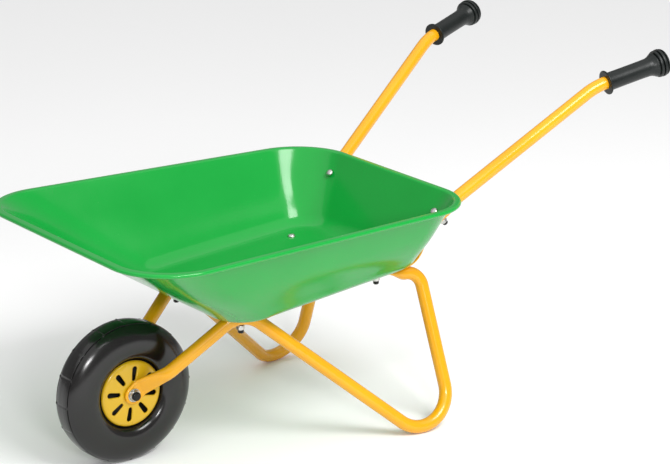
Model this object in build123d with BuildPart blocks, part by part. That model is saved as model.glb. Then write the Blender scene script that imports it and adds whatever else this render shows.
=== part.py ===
from build123d import *
import math
import os

os.makedirs("parts", exist_ok=True)

# Child's pressed-steel wheelbarrow.  Millimetres, +Z up, +X forward (towards the
# wheel), +Y to the operator's left.  The origin is on the ground, under the
# middle of the overall length.  Heights and widths are absolute; lengths are
# first given from the wheel axle (xa) and then shifted by wheel_x.

# ---- driving dimensions -------------------------------------------------
wheel_x = 334.52         # axle position ahead of the origin
axle_z = 95.0            # axle height = tyre radius

tube_r = 9.0             # 18 mm frame tube
tube_wall = 1.2
flat_w = 26.0            # width of a tube end pressed flat
flat_t = 3.0             # its thickness: two walls pressed together

sheet = 1.0              # tray sheet
floor_slope = 0.0743     # floor falls towards the wheel
floor_z0 = 197.3         # underside of the floor at the front bolts
front_bolt_x = -132.0
front_bolt_y = 75.7
rear_bolt_x = -341.2
rear_bolt_y = 94.9
floor_front, floor_rear = -93.5, -397.0
floor_half_front, floor_half_rear = 136.0, 126.5
floor_r_front, floor_r_rear = 54.0, 42.0
rim_front, rim_rear = 95.4, -450.0
rim_half_front, rim_half_rear = 221.5, 191.3
rim_corner = 85.0
rim_z_front, rim_z_rear = 316.0, 310.4      # centre of the rolled edge
bead_r = 2.8
lip = 8.5                # outer edge of the bead to the top of the wall
tray_bottom_r = 30.0

tyre_r, tyre_half = 95.0, 26.0
hub_r, hub_y = 44.7, 20.3
hub_bore = 6.2
axle_r = 5.0
lug_y = 23.5             # middle of the flattened fork end

grip_flange_r, grip_r, grip_cap_r = 17.0, 10.6, 19.4


def X(x):
    return x + wheel_x


def floor_z(x):
    """Underside of the tray floor at a length x from the axle."""
    return floor_z0 - floor_slope * (x - front_bolt_x)


def rim_z(x):
    t = (x - rim_rear) / (rim_front - rim_rear)
    return rim_z_rear + t * (rim_z_front - rim_z_rear)


def P(x, y, z):
    return Vector(X(x), y, z)


floor_n = Vector(floor_slope, 0, 1).normalized()
floor_f = Vector(1, 0, -floor_slope).normalized()
rim_m = (rim_z_front - rim_z_rear) / (rim_front - rim_rear)
rim_f = Vector(1, 0, rim_m).normalized()
rim_n = Vector(-rim_m, 0, 1).normalized()


def floor_plane(h):
    """Plane parallel to the floor, h above its underside."""
    return Plane(origin=P(0, 0, floor_z(0)) + floor_n * h, x_dir=floor_f, z_dir=floor_n)


def rim_plane(h):
    """Plane of the rolled edge, h above its centre line."""
    return Plane(origin=P(0, 0, rim_z(0)) + rim_n * h, x_dir=rim_f, z_dir=rim_n)


def outline(front, rear, half_front, half_rear):
    return [(front, -half_front), (front, half_front), (rear, half_rear), (rear, -half_rear)]


# ---- tray ---------------------------------------------------------------
wall_top = bead_r - sheet
top_out = outline(rim_front - lip, rim_rear + lip, rim_half_front - lip, rim_half_rear - lip)
floor_out = outline(floor_front, floor_rear, floor_half_front, floor_half_rear)
top_in = outline(rim_front - lip - 1.8, rim_rear + lip + 1.12,
                 rim_half_front - lip - 1.24, rim_half_rear - lip - 1.24)
floor_in = outline(floor_front - 0.3, floor_rear + 0.6, floor_half_front - 0.5, floor_half_rear - 0.5)

with BuildPart() as tray_outside:
    with BuildSketch(floor_plane(0)) as s_floor_out:
        with BuildLine():
            Polyline(*floor_out, close=True)
        make_face()
        fillet(s_floor_out.vertices().group_by(Axis.X)[-1], floor_r_front)
        fillet(s_floor_out.vertices().group_by(Axis.X)[0], floor_r_rear)
    with BuildSketch(rim_plane(bead_r)) as s_top_out:
        with BuildLine():
            Polyline(*top_out, close=True)
        make_face()
        fillet(s_top_out.vertices(), rim_corner - lip)
    loft()
    bottom = tray_outside.faces().sort_by(Axis.Z)[0]
    fillet(bottom.edges(), tray_bottom_r)

with BuildPart() as tray_inside:
    with BuildSketch(floor_plane(sheet)) as s_floor_in:
        with BuildLine():
            Polyline(*floor_in, close=True)
        make_face()
        fillet(s_floor_in.vertices().group_by(Axis.X)[-1], floor_r_front - 0.6)
        fillet(s_floor_in.vertices().group_by(Axis.X)[0], floor_r_rear - 0.6)
    with BuildSketch(rim_plane(bead_r + 0.01)) as s_top_in:
        with BuildLine():
            Polyline(*top_in, close=True)
        make_face()
        fillet(s_top_in.vertices(), rim_corner - lip - 1.3)
    loft()
    bottom = tray_inside.faces().sort_by(Axis.Z)[0]
    fillet(bottom.edges(), tray_bottom_r - sheet)


bead_path = outline(rim_front - bead_r, rim_rear + bead_r, rim_half_front - bead_r, rim_half_rear - bead_r)
with BuildSketch(rim_plane(0)) as s_bead:
    with BuildLine():
        Polyline(*bead_path, close=True)
    make_face()
    fillet(s_bead.vertices(), rim_corner - bead_r)
bead_wire = s_bead.sketch.faces()[0].outer_wire()

floor_bolts = [
    (front_bolt_x, front_bolt_y), (front_bolt_x, -front_bolt_y),
    (rear_bolt_x, rear_bolt_y), (rear_bolt_x, -rear_bolt_y),
]

# rear wall seen from the side: from the lip down to the floor, and its outward normal
wall_top_pt = P(rim_rear + lip, 0, rim_z(rim_rear + lip) + bead_r)
wall_foot_pt = P(floor_rear, 0, floor_z(floor_rear))
wall_dir = (wall_foot_pt - wall_top_pt).normalized()
wall_n = Vector(wall_dir.Z, 0, -wall_dir.X).normalized()      # outwards: rearwards and down


def wall_point(z, off, y):
    """Point at height z, off from the outer face of the rear wall."""
    t = (z - wall_top_pt.Z) / wall_dir.Z
    p = wall_top_pt + wall_dir * t
    return Vector(p.X, y, p.Z) + wall_n * off


# handle tube: grip end, bend, bend under the rim, down the rear wall
handle_end = P(-749.0, 200.8, 458.8)
handle_bend = P(-653.3, 179.4, 436.5)
handle_knee = wall_point(301.0, 12.2, 122.6)
handle_flat_start = wall_point(290.0, 10.4, 119.2)      # last round section
handle_mid = wall_point(279.0, 5.3, 115.6)             # half pressed, at the wall bolt
wall_bolt_z = 283.0
wall_bolt_y = 116.0
wall_bolt_tilt = math.radians(44)
bolt_n = Vector(-math.cos(wall_bolt_tilt), 0, -math.sin(wall_bolt_tilt))    # bolt axis, out of the tray
wall_bolt_face = wall_point(wall_bolt_z, 0, wall_bolt_y)       # on the outer face of the wall


with BuildPart() as tray:
    add(tray_outside.part)
    with BuildSketch(rim_plane(bead_r - sheet)) as s_lip:
        with BuildLine():
            Polyline(*bead_path, close=True)
        make_face()
        fillet(s_lip.vertices(), rim_corner - bead_r)
    extrude(amount=sheet)
    bead_start = bead_wire @ 0
    with BuildSketch(Plane(origin=bead_start, z_dir=bead_wire % 0)):
        Circle(bead_r)
    sweep(path=bead_wire)
    add(tray_inside.part, mode=Mode.SUBTRACT)
    # bolt holes in the floor and in the rear wall
    for bx, by in floor_bolts:
        with BuildSketch(Plane(origin=P(bx, by, floor_z(bx)) - floor_n * 5, z_dir=floor_n)):
            Circle(3.3)
        extrude(amount=15, mode=Mode.SUBTRACT)
    for side in (1, -1):
        o = Vector(wall_bolt_face.X, side * wall_bolt_y, wall_bolt_face.Z) + bolt_n * 5
        with BuildSketch(Plane(origin=o, z_dir=-bolt_n)):
            Circle(3.4)
        extrude(amount=15, mode=Mode.SUBTRACT)

# ---- leg tubes ----------------------------------------------------------
# One tube each side: pressed-flat lug on the axle, fork arm, bend under the front
# of the floor, leg, foot, rear upright, and a pressed-flat end under the rear bolt.
fork_root = P(0, 33.5, axle_z - 2.6)
apex = P(-135.4, 78.8, 197.2)
foot = P(-413.6, 197.4, -51.38)
leg_top = P(-407.5, 105.2, 203.2)
leg_flat_off = flat_t * 1.5 + 0.1                     # second flat under the floor
leg_end_flat = P(rear_bolt_x - 15, rear_bolt_y, floor_z(rear_bolt_x - 15)) - floor_n * leg_flat_off
arm_dir = (apex - fork_root).normalized()
arm_start = fork_root + arm_dir * 54
run_end = P(-383.5, 101.0, 202.8)
run_mid = P(-371.0, 98.0, 205.4)
run_dir = (run_end - leg_top).normalized()
lug_dir = Vector(arm_dir.X, 0, arm_dir.Z).normalized()
lug_flat_end = P(0, lug_y, axle_z) + lug_dir * 16

with BuildPart() as left_leg_tube:
    with BuildLine() as leg_path:
        FilletPolyline(arm_start, apex, foot, leg_top, run_end, radius=[38, 46, 22])
    with BuildSketch(Plane(origin=arm_start, z_dir=arm_dir)):
        Circle(tube_r)
        Circle(tube_r - tube_wall, mode=Mode.SUBTRACT)
    sweep(path=leg_path.line)
    # fork end, pressed flat for the axle
    with BuildSketch(Plane(origin=lug_flat_end, x_dir=Vector(0, 1, 0).cross(lug_dir), z_dir=lug_dir)):
        Ellipse(flat_w / 2, flat_t / 2)
    with BuildSketch(Plane(origin=arm_start, x_dir=Vector(0, 1, 0).cross(lug_dir), z_dir=arm_dir)):
        Circle(tube_r)
    loft()
    with BuildSketch(Plane(origin=P(0, lug_y - flat_t / 2, axle_z), x_dir=lug_dir, z_dir=(0, 1, 0))):
        with Locations((1, 0)):
            SlotOverall(flat_w + 2, flat_w)
        with Locations((11.5, 0)):
            Rectangle(12, flat_w - 1.6)
        Circle(axle_r + 0.15, mode=Mode.SUBTRACT)
    extrude(amount=flat_t)
    # rear end, pressed flat under the floor
    y_dir = Vector(0, 1, 0)
    with BuildSketch(Plane(origin=run_end, x_dir=y_dir - run_dir * y_dir.dot(run_dir), z_dir=run_dir)):
        Circle(tube_r)
    with BuildSketch(Plane(origin=run_mid, x_dir=y_dir - run_dir * y_dir.dot(run_dir), z_dir=run_dir)):
        Ellipse(11.3, 4.9)
    with BuildSketch(Plane(origin=leg_end_flat, x_dir=y_dir, z_dir=floor_f)):
        Ellipse(flat_w / 2, flat_t / 2)
    loft()
    with BuildSketch(Plane(origin=P(rear_bolt_x, rear_bolt_y, floor_z(rear_bolt_x)) - floor_n * (leg_flat_off + flat_t / 2),
                           x_dir=floor_f, z_dir=floor_n)):
        with Locations((-2, 0)):
            SlotOverall(flat_w + 8, flat_w)
        with Locations((-10, 0)):
            Rectangle(12, flat_w - 2)
        Circle(3.3, mode=Mode.SUBTRACT)
    extrude(amount=flat_t)
    # hole for the front floor bolt, through the bend
    with BuildSketch(Plane(origin=P(front_bolt_x, front_bolt_y, floor_z(front_bolt_x)) - floor_n * 30, z_dir=floor_n)):
        Circle(3.3)
    extrude(amount=40, mode=Mode.SUBTRACT)

with BuildPart() as right_leg_tube:
    mirror(left_leg_tube.part, about=Plane.XZ)

# ---- handle tubes -------------------------------------------------------
# Round from the grip to the rear wall, then pressed flat round the tray's lower
# rear edge to the rear floor bolt.
strip_w = 21.0
strip_hug = flat_t / 2 + 0.1
strip_top = wall_point(258.0, strip_hug, 0)
a0 = wall_foot_pt + wall_n * strip_hug
b0 = wall_foot_pt - floor_n * strip_hug
# where the two offset lines meet
det = wall_dir.X * -floor_f.Z + wall_dir.Z * floor_f.X
t_k = ((b0.X - a0.X) * -floor_f.Z + (b0.Z - a0.Z) * floor_f.X) / det
strip_knee = a0 + wall_dir * t_k
strip_end = P(rear_bolt_x + 17, 0, floor_z(rear_bolt_x + 17)) - floor_n * strip_hug
strip_y0 = rear_bolt_y
strip_y1 = 106.5
flat_dir = (Vector(strip_top.X, strip_y1, strip_top.Z) - handle_flat_start).normalized()

with BuildPart() as handle_strip:
    with BuildSketch(Plane(origin=(0, 80, 0), x_dir=(1, 0, 0), z_dir=(0, 1, 0))) as s_band:
        with BuildLine() as band_line:
            FilletPolyline((strip_top.X, -strip_top.Z), (strip_knee.X, -strip_knee.Z), (strip_end.X, -strip_end.Z),
                           radius=tray_bottom_r + strip_hug)
        trace(line_width=flat_t)
    extrude(amount=40)
    with BuildSketch(Plane.XY.offset(180)) as s_plan:
        with BuildLine():
            Polyline((strip_top.X - 20, strip_y1 - strip_w / 2 + 1.2), (strip_end.X, strip_y0 - strip_w / 2),
                     (strip_end.X, strip_y0 + strip_w / 2), (strip_top.X - 20, strip_y1 + strip_w / 2 + 1.2), close=True)
        make_face()
        fillet(s_plan.vertices().group_by(Axis.X)[-1], 10)
    extrude(amount=80, mode=Mode.INTERSECT)

with BuildPart() as left_handle_tube:
    with BuildLine() as handle_path:
        FilletPolyline(handle_end, handle_bend, handle_knee, handle_flat_start, radius=[90, 45])
    with BuildSketch(Plane(origin=handle_end, z_dir=(handle_bend - handle_end).normalized())):
        Circle(tube_r)
        Circle(tube_r - tube_wall, mode=Mode.SUBTRACT)
    sweep(path=handle_path.line)
    down = (handle_flat_start - handle_knee).normalized()
    with BuildSketch(Plane(origin=handle_flat_start, x_dir=y_dir - down * y_dir.dot(down), z_dir=down)):
        Circle(tube_r)
    with BuildSketch(Plane(origin=handle_mid, x_dir=y_dir, z_dir=wall_dir)):
        Ellipse(11.0, 4.8)
    with BuildSketch(Plane(origin=Vector(strip_top.X, strip_y1, strip_top.Z), x_dir=y_dir, z_dir=wall_dir)):
        Ellipse(strip_w / 2, flat_t / 2)
    loft()
    add(handle_strip.part)
    with BuildSketch(Plane(origin=P(rear_bolt_x, rear_bolt_y, floor_z(rear_bolt_x)) - floor_n * 6, z_dir=floor_n)):
        Circle(3.3)
    extrude(amount=10, mode=Mode.SUBTRACT)
    with BuildSketch(Plane(origin=wall_bolt_face + bolt_n * 25, z_dir=-bolt_n)):
        Circle(3.3)
    extrude(amount=40, mode=Mode.SUBTRACT)

with BuildPart() as right_handle_tube:
    mirror(left_handle_tube.part, about=Plane.XZ)

# ---- grips --------------------------------------------------------------
grip_dir = (handle_end - handle_bend).normalized()
grip_side = grip_dir.cross(Vector(0, 0, 1)).normalized()
grip_plane = Plane(origin=handle_bend, x_dir=grip_dir, z_dir=grip_side)
grip_profile = [
    (16.5, grip_flange_r - 0.6), (17.1, grip_flange_r), (18.4, grip_flange_r), (19.1, grip_flange_r - 0.7),
    (19.5, grip_r + 0.9), (20.7, grip_r - 0.2), (60.0, grip_r - 0.4), (84.0, grip_r), (88.0, 12.2), (91.5, 14.8),
    (94.5, 16.9), (95.0, 15.6), (96.2, 15.6), (96.7, 18.4), (100.2, 19.1), (100.7, 17.0), (101.9, 17.0),
    (102.4, grip_cap_r), (106.2, grip_cap_r), (106.7, 17.0), (107.9, 17.0), (108.4, 18.7), (110.6, 17.2),
    (112.4, 13.6), (113.4, 9.0), (113.9, 0.0),
]
with BuildPart() as left_grip:
    with BuildSketch(grip_plane):
        with BuildLine():
            Polyline((16.5, tube_r + 0.05), *grip_profile, ((handle_end - handle_bend).length + 0.5, 0.0),
                     ((handle_end - handle_bend).length + 0.5, tube_r + 0.05), close=True)
        make_face()
    revolve(axis=Axis(origin=handle_bend, direction=grip_dir))

with BuildPart() as right_grip:
    mirror(left_grip.part, about=Plane.XZ)

# ---- wheel --------------------------------------------------------------
wheel_axis = Axis(origin=(wheel_x, 0, axle_z), direction=(0, 1, 0))
wheel_plane = Plane(origin=(wheel_x, 0, axle_z), x_dir=(1, 0, 0), z_dir=(0, 0, 1))     # local x radial, local y across

tread_half = 12.5
groove_w, groove_d = 1.6, 1.6
with BuildPart() as tyre:
    with BuildSketch(wheel_plane):
        with BuildLine():
            l1 = Line((tyre_r, 0), (tyre_r, 4))
            l2 = ThreePointArc((tyre_r, 4), (tyre_r - 0.35, 8.6), (tyre_r - 1.4, tread_half))
            l3 = Polyline((tyre_r - 1.4, tread_half), (tyre_r - 1.4 - groove_d, tread_half + 0.1),
                          (tyre_r - 1.7 - groove_d, tread_half + groove_w), (tyre_r - 2.1, tread_half + groove_w))
            l4 = Spline((tyre_r - 2.1, tread_half + groove_w), (88.6, 18.6), (80.5, 23.6), (69.0, tyre_half),
                        (58.0, 25.4), (50.5, 22.2), (47.0, 17.0),
                        tangents=[(-1.2, 1.6), (-0.35, -1)])
            l5 = Polyline((47.0, 17.0), (44.0, 17.0), (44.0, 0))
            l6 = Line((44.0, 0), (tyre_r, 0))
        make_face()
        mirror(about=Plane.XZ)
    revolve(axis=wheel_axis)
    # the hollow, open towards the hub
    with BuildSketch(wheel_plane):
        with BuildLine():
            k4 = Spline((90.0, 0), (88.8, 9.5), (84.8, 16.2), (77.5, 21.0), (68.5, 23.0), (58.5, 22.2), (52.0, 18.0), (49.5, 13.0))
            k5 = Polyline((49.5, 13.0), (43.0, 13.0), (43.0, 0), (90.0, 0))
        make_face()
        mirror(about=Plane.XZ)
    revolve(axis=wheel_axis, mode=Mode.SUBTRACT)
    # shallow cuts across the tread, between its blocks
    with BuildSketch(Plane(origin=(wheel_x, 0, axle_z), x_dir=(1, 0, 0), z_dir=(0, 1, 0))) as s_cuts:
        with PolarLocations(tyre_r, 16, start_angle=11.25):
            Rectangle(2.4, 1.6)
    extrude(amount=tread_half + 0.2, both=True, mode=Mode.SUBTRACT)

slot_in, slot_out = 17.0, 37.5
with BuildPart() as left_hub_disc:
    with BuildSketch(wheel_plane):
        with BuildLine():
            Polyline((7.0, 19.4), (7.0, 21.2), (15.0, 21.2), (26.0, 21.0), (36.0, 20.8), (41.5, hub_y), (44.0, 19.2),
                     (hub_r, 17.2), (hub_r - 1.2, 17.0), (42.4, 18.4), (40.8, 18.9), (26.0, 19.4), close=True)
        make_face()
    revolve(axis=wheel_axis)
    with BuildSketch(Plane(origin=(wheel_x, 16, axle_z), x_dir=(1, 0, 0), z_dir=(0, 1, 0))) as s_slots:
        with PolarLocations(0, 8, start_angle=-9):
            with Locations(((slot_in + slot_out) / 2, 0)):
                Trapezoid(7.6, slot_out - slot_in, 86, rotation=90)
        fillet(s_slots.vertices(), 2.2)
    extrude(amount=8, mode=Mode.SUBTRACT)

with BuildPart() as right_hub_disc:
    mirror(left_hub_disc.part, about=Plane.XZ)

bush_r = 8.0
axle_fit = 0.06
with BuildPart() as hub_sleeve:
    with BuildSketch(wheel_plane):
        with BuildLine():
            Polyline((bush_r + 0.05, -19.2), (bush_r + 0.05, 19.2), (12.0, 19.2), (12.0, 6.0), (40.5, 4.0), (43.8, 10.5),
                     (43.8, -10.5), (40.5, -4.0), (12.0, -6.0), (12.0, -19.2), close=True)
        make_face()
    revolve(axis=wheel_axis)

with BuildPart() as left_bush:
    with BuildSketch(wheel_plane):
        with BuildLine():
            Polyline((axle_r + axle_fit, 3.0), (axle_r + axle_fit, 21.6), (6.8, 21.6), (6.8, 19.3), (bush_r, 19.3), (bush_r, 3.0), close=True)
        make_face()
    revolve(axis=wheel_axis)

with BuildPart() as right_bush:
    mirror(left_bush.part, about=Plane.XZ)

# ---- axle and its fasteners ---------------------------------------------
lug_out = lug_y + flat_t / 2
with BuildPart() as axle:
    with BuildSketch(Plane(origin=(wheel_x, 0, axle_z), x_dir=(1, 0, 0), z_dir=(0, 1, 0))):
        Circle(axle_r)
    extrude(amount=lug_out + 6.6, both=True)
    chamfer(axle.edges().filter_by(GeomType.CIRCLE), 0.8)

with BuildPart() as axle_washers:
    for side in (1, -1):
        with BuildSketch(Plane(origin=(wheel_x, side * (lug_out + 0.05), axle_z), x_dir=(1, 0, 0), z_dir=(0, side, 0))):
            Circle(9.0)
            Circle(axle_r + 0.2, mode=Mode.SUBTRACT)
        extrude(amount=1.2)

with BuildPart() as axle_nuts:
    for side in (1, -1):
        with BuildSketch(Plane(origin=(wheel_x, side * (lug_out + 1.3), axle_z), x_dir=(1, 0, 0), z_dir=(0, side, 0))):
            RegularPolygon(7.0, 6, major_radius=False)
            Circle(axle_r + 0.1, mode=Mode.SUBTRACT)
        extrude(amount=3.6)

with BuildPart() as axle_caps:
    for side in (1, -1):
        yo = side * (lug_out + 5.0)
        with BuildSketch(Plane(origin=(wheel_x, yo, axle_z), x_dir=(1, 0, 0), z_dir=(0, side, 0))):
            Circle(axle_r + 1.1)
        extrude(amount=3.4)
        with BuildSketch(Plane(origin=(wheel_x, yo, axle_z), x_dir=(1, 0, 0), z_dir=(0, side, 0))):
            Circle(axle_r + 0.05)
        extrude(amount=1.7, mode=Mode.SUBTRACT)
    fillet(axle_caps.edges().filter_by(GeomType.CIRCLE).filter_by(lambda e: abs(abs(e.center().Y) - lug_out - 8.4) < 0.01), 1.5)

# ---- tray bolts ---------------------------------------------------------
# (axis point on the inner face of the sheet, direction out of the tray, clamped thickness)
bolt_sets = {
    "front_floor_bolts": [(P(front_bolt_x, s_ * front_bolt_y, floor_z(front_bolt_x)) + floor_n * sheet, -floor_n,
                           sheet + 2 * tube_r + 1.9) for s_ in (1, -1)],
    "rear_floor_bolts": [(P(rear_bolt_x, s_ * rear_bolt_y, floor_z(rear_bolt_x)) + floor_n * sheet, -floor_n,
                          sheet + 2 * flat_t + 0.25) for s_ in (1, -1)],
    "rear_wall_bolts": [(Vector(wall_bolt_face.X, s_ * wall_bolt_y, wall_bolt_face.Z) - bolt_n * (sheet + 3.7), bolt_n,
                         sheet + 3.7 + 13.0) for s_ in (1, -1)],
}
head_r, head_h, shank_r = 5.6, 3.4, 3.0
washer_t, nut_h, stub = 1.2, 5.2, 4.2


def seat(o, d, h):
    """Plane at h along the bolt axis, looking out of the tray."""
    x = Vector(0, 1, 0)
    return Plane(origin=o + d * h, x_dir=x, z_dir=d)


with BuildPart() as front_floor_bolts:
    for o, d, grip in bolt_sets["front_floor_bolts"]:
        with BuildSketch(seat(o, d, -head_h)):
            Circle(head_r)
        extrude(amount=head_h, taper=-8)
        with BuildSketch(seat(o, d, -0.5)):
            Circle(shank_r)
        extrude(amount=0.5 + grip + washer_t + nut_h + stub)

with BuildPart() as rear_floor_bolts:
    for o, d, grip in bolt_sets["rear_floor_bolts"]:
        with BuildSketch(seat(o, d, -head_h)):
            Circle(head_r)
        extrude(amount=head_h, taper=-8)
        with BuildSketch(seat(o, d, -0.5)):
            Circle(shank_r)
        extrude(amount=0.5 + grip + washer_t + nut_h + stub)

with BuildPart() as rear_wall_bolts:
    for o, d, grip in bolt_sets["rear_wall_bolts"]:
        with BuildSketch(seat(o, d, -head_h)):
            Circle(head_r)
        extrude(amount=head_h, taper=-8)
        with BuildSketch(seat(o, d, -0.5)):
            Circle(shank_r)
        extrude(amount=0.5 + grip + washer_t + nut_h + stub)

all_bolts = [b for name in bolt_sets for b in bolt_sets[name]]
with BuildPart() as tray_bolt_washers:
    for o, d, grip in all_bolts:
        with BuildSketch(seat(o, d, grip + 0.02)):
            Circle(6.0)
            Circle(shank_r + 0.2, mode=Mode.SUBTRACT)
        extrude(amount=washer_t)

with BuildPart() as tray_bolt_nuts:
    for o, d, grip in all_bolts:
        with BuildSketch(seat(o, d, grip + washer_t + 0.05)):
            RegularPolygon(5.0, 6, major_radius=False)
            Circle(shank_r + 0.03, mode=Mode.SUBTRACT)
        extrude(amount=nut_h)

with BuildPart() as tray_bolt_caps:
    for o, d, grip in all_bolts:
        h0 = grip + washer_t + nut_h + 0.1
        with BuildSketch(seat(o, d, h0)):
            Circle(shank_r + 1.0)
        extrude(amount=stub + 1.3)
        with BuildSketch(seat(o, d, h0)):
            Circle(shank_r + 0.05)
        extrude(amount=stub + 0.1, mode=Mode.SUBTRACT)

# ---- write the pieces ---------------------------------------------------
pieces = {
    "tray": tray,
    "left_leg_tube": left_leg_tube,
    "right_leg_tube": right_leg_tube,
    "left_handle_tube": left_handle_tube,
    "right_handle_tube": right_handle_tube,
    "left_grip": left_grip,
    "right_grip": right_grip,
    "tyre": tyre,
    "left_hub_disc": left_hub_disc,
    "right_hub_disc": right_hub_disc,
    "hub_sleeve": hub_sleeve,
    "left_bush": left_bush,
    "right_bush": right_bush,
    "axle": axle,
    "axle_washers": axle_washers,
    "axle_nuts": axle_nuts,
    "axle_caps": axle_caps,
    "front_floor_bolts": front_floor_bolts,
    "rear_floor_bolts": rear_floor_bolts,
    "rear_wall_bolts": rear_wall_bolts,
    "tray_bolt_washers": tray_bolt_washers,
    "tray_bolt_nuts": tray_bolt_nuts,
    "tray_bolt_caps": tray_bolt_caps,
}
lo = [1e9] * 3
hi = [-1e9] * 3
for name, piece in pieces.items():
    piece.part.label = name
    export_step(piece.part, f"parts/{name}.step")
    bb = piece.part.bounding_box()
    lo = [min(a, b) for a, b in zip(lo, (bb.min.X, bb.min.Y, bb.min.Z))]
    hi = [max(a, b) for a, b in zip(hi, (bb.max.X, bb.max.Y, bb.max.Z))]
print("box", [round(v, 2) for v in lo], [round(v, 2) for v in hi])
for e in leg_path.edges():
    if e.geom_type == GeomType.CIRCLE:
        m = e @ 0.5
        print("leg bend", round(e.radius, 1), [round(v, 1) for v in (m.X - wheel_x, m.Y, m.Z)],
              "z range", round(e.bounding_box().min.Z, 2), round(e.bounding_box().max.Z, 2))
print("floor at the front bolt", floor_z(front_bolt_x), "wall bolt y", round(wall_bolt_y, 2))
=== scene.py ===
import bpy
import math
import numpy as np
from mathutils import Vector, Matrix
from mathutils.geometry import delaunay_2d_cdt


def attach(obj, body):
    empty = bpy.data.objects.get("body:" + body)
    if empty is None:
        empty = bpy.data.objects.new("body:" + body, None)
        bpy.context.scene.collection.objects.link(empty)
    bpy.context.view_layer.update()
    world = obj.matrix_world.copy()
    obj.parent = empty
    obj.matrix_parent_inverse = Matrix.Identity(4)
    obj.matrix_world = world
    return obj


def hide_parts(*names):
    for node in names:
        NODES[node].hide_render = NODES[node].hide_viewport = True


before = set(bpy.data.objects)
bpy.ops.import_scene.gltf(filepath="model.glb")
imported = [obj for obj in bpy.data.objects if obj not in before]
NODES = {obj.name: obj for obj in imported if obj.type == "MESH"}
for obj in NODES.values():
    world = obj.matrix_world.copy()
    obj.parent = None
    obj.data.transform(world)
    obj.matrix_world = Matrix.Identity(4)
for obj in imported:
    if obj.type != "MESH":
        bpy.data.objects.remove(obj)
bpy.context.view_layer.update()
MM = 0.001

# ------------------------------------------------------------------ dimensions (mm), as in the CAD
WX, AXZ = 334.52, 95.0
TUBE, FLAT_W, FLAT_T, SHEET = 9.0, 26.0, 3.0, 1.0
SLOPE, FZ0, FBX, FBY, RBX, RBY = 0.0743, 197.3, -132.0, 75.7, -341.2, 94.9
FLOOR_F, FLOOR_R, FHF, FHR, FRF, FRR = -93.5, -397.0, 136.0, 126.5, 54.0, 42.0
RIM_F, RIM_R, RHF, RHR, RCORN = 95.4, -450.0, 221.5, 191.3, 85.0
RZF, RZR, BEAD, LIP, BOTR = 316.0, 310.4, 2.8, 8.5, 30.0
LUG_Y = 23.5


def V(*a):
    return np.array(a, float)


def unit(a):
    return a / np.linalg.norm(a)


def P(x, y, z):
    return V(x + WX, y, z)


def floor_z(x):
    return FZ0 - SLOPE * (x - FBX)


def rim_z(x):
    return RZR + (x - RIM_R) / (RIM_F - RIM_R) * (RZF - RZR)


floor_n, floor_f = unit(V(SLOPE, 0, 1)), unit(V(1, 0, -SLOPE))
_m = (RZF - RZR) / (RIM_F - RIM_R)
rim_f, rim_n = unit(V(1, 0, _m)), unit(V(-_m, 0, 1))
YV = V(0, 1, 0)


# ------------------------------------------------------------------ mesh helpers
def mesh_object(name, verts, faces, smooth=True):
    me = bpy.data.meshes.new(name)
    me.from_pydata([tuple(v) for v in np.asarray(verts) * MM], [], [list(map(int, f)) for f in faces])
    me.update()
    ob = bpy.data.objects.new(name, me)
    bpy.context.scene.collection.objects.link(ob)
    if smooth:
        me.polygons.foreach_set("use_smooth", [True] * len(me.polygons))
    return ob


def grid_faces(nv, nu, closed_u=True, base=0, flip=False):
    fs = []
    for i in range(nv - 1):
        for j in range(nu if closed_u else nu - 1):
            k = (j + 1) % nu
            q = (base + i * nu + j, base + i * nu + k, base + (i + 1) * nu + k, base + (i + 1) * nu + j)
            fs.append(q[::-1] if flip else q)
    return fs


def recalc(ob):
    import bmesh
    bm = bmesh.new()
    bm.from_mesh(ob.data)
    bmesh.ops.remove_doubles(bm, verts=bm.verts, dist=1e-7)
    bmesh.ops.recalc_face_normals(bm, faces=bm.faces)
    bm.to_mesh(ob.data)
    bm.free()
    ob.data.polygons.foreach_set("use_smooth", [True] * len(ob.data.polygons))
    return ob


def sharp(ob, deg=35):
    """Marks edges sharper than deg so smooth shading keeps its corners."""
    me = ob.data
    import bmesh
    bm = bmesh.new()
    bm.from_mesh(me)
    lim = math.radians(deg)
    for e in bm.edges:
        if len(e.link_faces) == 2 and e.calc_face_angle(0) > lim:
            e.smooth = False
    bm.to_mesh(me)
    bm.free()
    return ob


def fillet_path(pts, radii, ds=3.0):
    pts = [np.array(p, float) for p in pts]
    out, tan = [], []

    def line(a, b):
        L = np.linalg.norm(b - a)
        n = max(1, int(L / ds))
        d = unit(b - a)
        for k in range(n):
            out.append(a + (b - a) * k / n)
            tan.append(d)

    cur = pts[0]
    for i in range(1, len(pts) - 1):
        a, b = unit(pts[i] - pts[i - 1]), unit(pts[i + 1] - pts[i])
        ang = math.acos(max(-1, min(1, a @ b)))
        r = radii[i - 1]
        t = r * math.tan(ang / 2)
        s = pts[i] - a * t
        line(cur, s)
        nrm = unit(b - a * (a @ b))
        c = s + nrm * r
        n = max(3, int(ang * r / ds * 1.5), int(math.degrees(ang) / 4))
        for k in range(n):
            f = ang * k / n
            out.append(c + (-nrm * math.cos(f) + a * math.sin(f)) * r)
            tan.append(a * math.cos(f) + nrm * math.sin(f))
        cur = pts[i] + b * t
    line(cur, pts[-1])
    out.append(pts[-1])
    tan.append(unit(pts[-1] - pts[-2]))
    return np.array(out), np.array(tan)


def arclen(p):
    return np.concatenate([[0], np.cumsum(np.linalg.norm(np.diff(p, axis=0), axis=1))])


def smooth01(t):
    t = np.clip(t, 0, 1)
    return t * t * (3 - 2 * t)


def nearest_s(p, s, q):
    return s[np.argmin(np.linalg.norm(p - q, axis=1))]


M = 48
PHI = np.linspace(0, 2 * math.pi, M, endpoint=False)


def section(a, b, n=2.0):
    c, s_ = np.cos(PHI), np.sin(PHI)
    return np.stack([a * np.sign(c) * np.abs(c) ** (2 / n), b * np.sign(s_) * np.abs(s_) ** (2 / n)], 1)


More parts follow.
